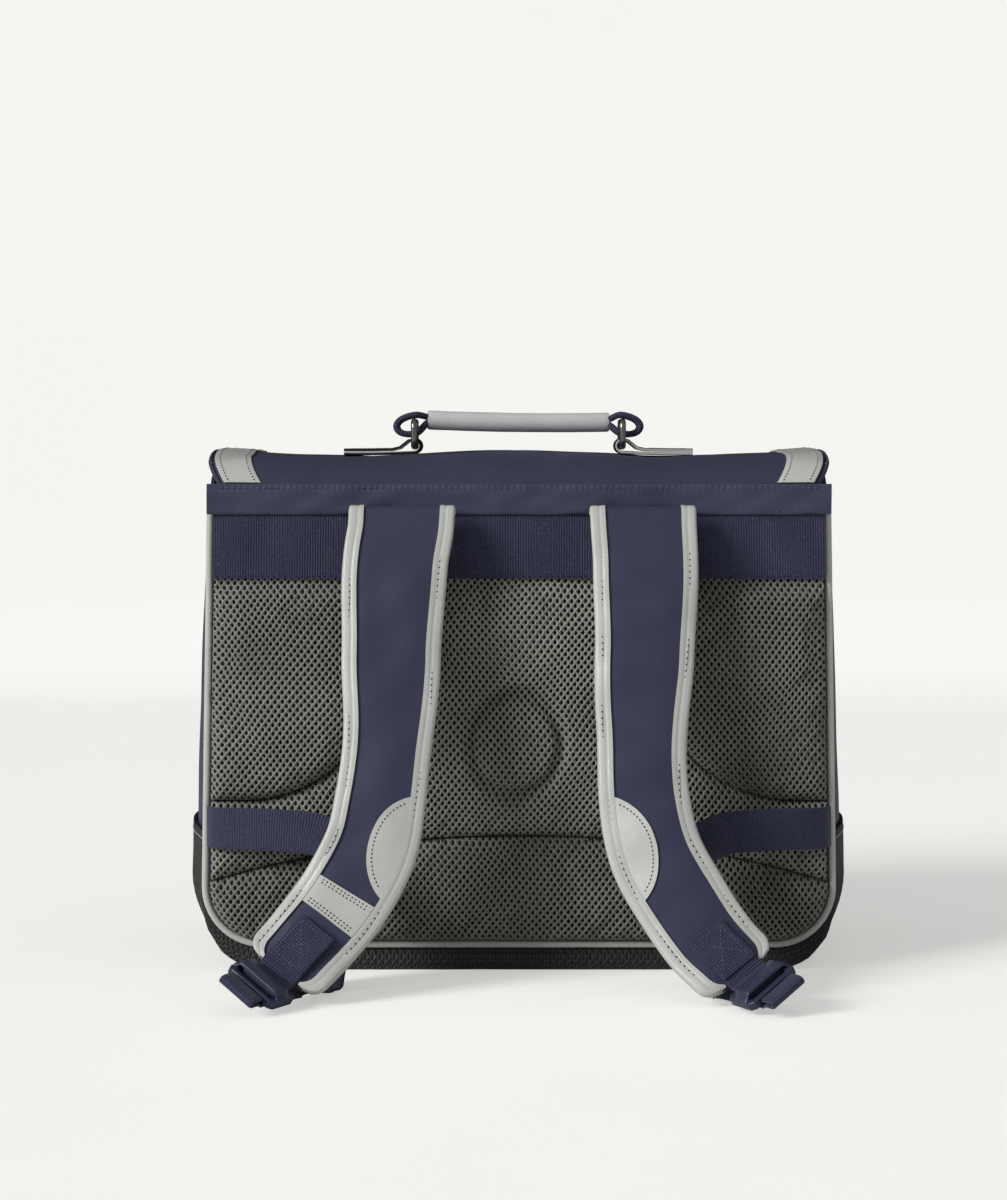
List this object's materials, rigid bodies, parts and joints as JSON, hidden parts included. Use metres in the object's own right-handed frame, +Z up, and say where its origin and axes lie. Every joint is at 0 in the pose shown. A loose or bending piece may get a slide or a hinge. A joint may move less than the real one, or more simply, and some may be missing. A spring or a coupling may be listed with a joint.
{
  "type": "school satchel backpack",
  "caption": "School satchel worn on the back: stiff rounded body, padded mesh back panel, curved padded shoulder straps, wide closing flap and a carrying handle on top.",
  "frame": {"origin": "middle of the flat underside, on the surface that the bag stands on", "axes": "+Z up, -Y towards the padded back and the shoulder straps, +X to the right when the padded back is looked at"},
  "size_m": [0.4106, 0.3304, 0.3385],
  "materials": {
    "navy_cloth": "fine coated nylon, matt",
    "black_base_cloth": "coarse coated weave",
    "spacer_mesh": "knitted spacer mesh with open holes",
    "navy_webbing": "ribbed webbing",
    "reflective_tape": "light grey reflective tape",
    "grip_cover": "smooth coated, light grey",
    "tab_leather": "coated, light grey with a dark back",
    "ring_steel": "nickel-plated wire",
    "navy_plastic": "moulded, satin"
  },
  "bodies": {
    "root": {"gusset": "navy_cloth", "back_panel": "navy_cloth", "front_panel": "navy_cloth", "hem_band": "navy_cloth", "flap": "navy_cloth", "strap_left": "navy_cloth", "strap_right": "navy_cloth", "base_cover": "black_base_cloth", "wing_pad_left": "spacer_mesh", "wing_pad_right": "spacer_mesh", "spine_pad": "spacer_mesh", "lumbar_pad": "spacer_mesh", "back_webbing": "navy_webbing", "flap_edging": "navy_webbing", "strap_end_webbing_left": "navy_webbing", "strap_end_webbing_right": "navy_webbing", "lower_webbing_left": "navy_webbing", "lower_webbing_right": "navy_webbing", "handle_loop_left": "navy_webbing", "handle_loop_right": "navy_webbing", "back_piping": "reflective_tape", "front_piping": "reflective_tape", "flap_strip_left": "reflective_tape", "flap_strip_right": "reflective_tape", "strap_binding_left_outer": "reflective_tape", "strap_binding_left_inner": "reflective_tape", "strap_binding_right_outer": "reflective_tape", "strap_binding_right_inner": "reflective_tape", "strap_patch_left": "reflective_tape", "strap_patch_right": "reflective_tape", "strap_label": "reflective_tape", "handle_grip": "grip_cover", "handle_tab_left": "tab_leather", "handle_tab_right": "tab_leather", "handle_ring_left": "ring_steel", "handle_ring_right": "ring_steel", "ladder_lock_left": "navy_plastic", "ladder_lock_right": "navy_plastic", "clasp_left": "navy_plastic", "clasp_right": "navy_plastic"}
  },
  "joints": []
}
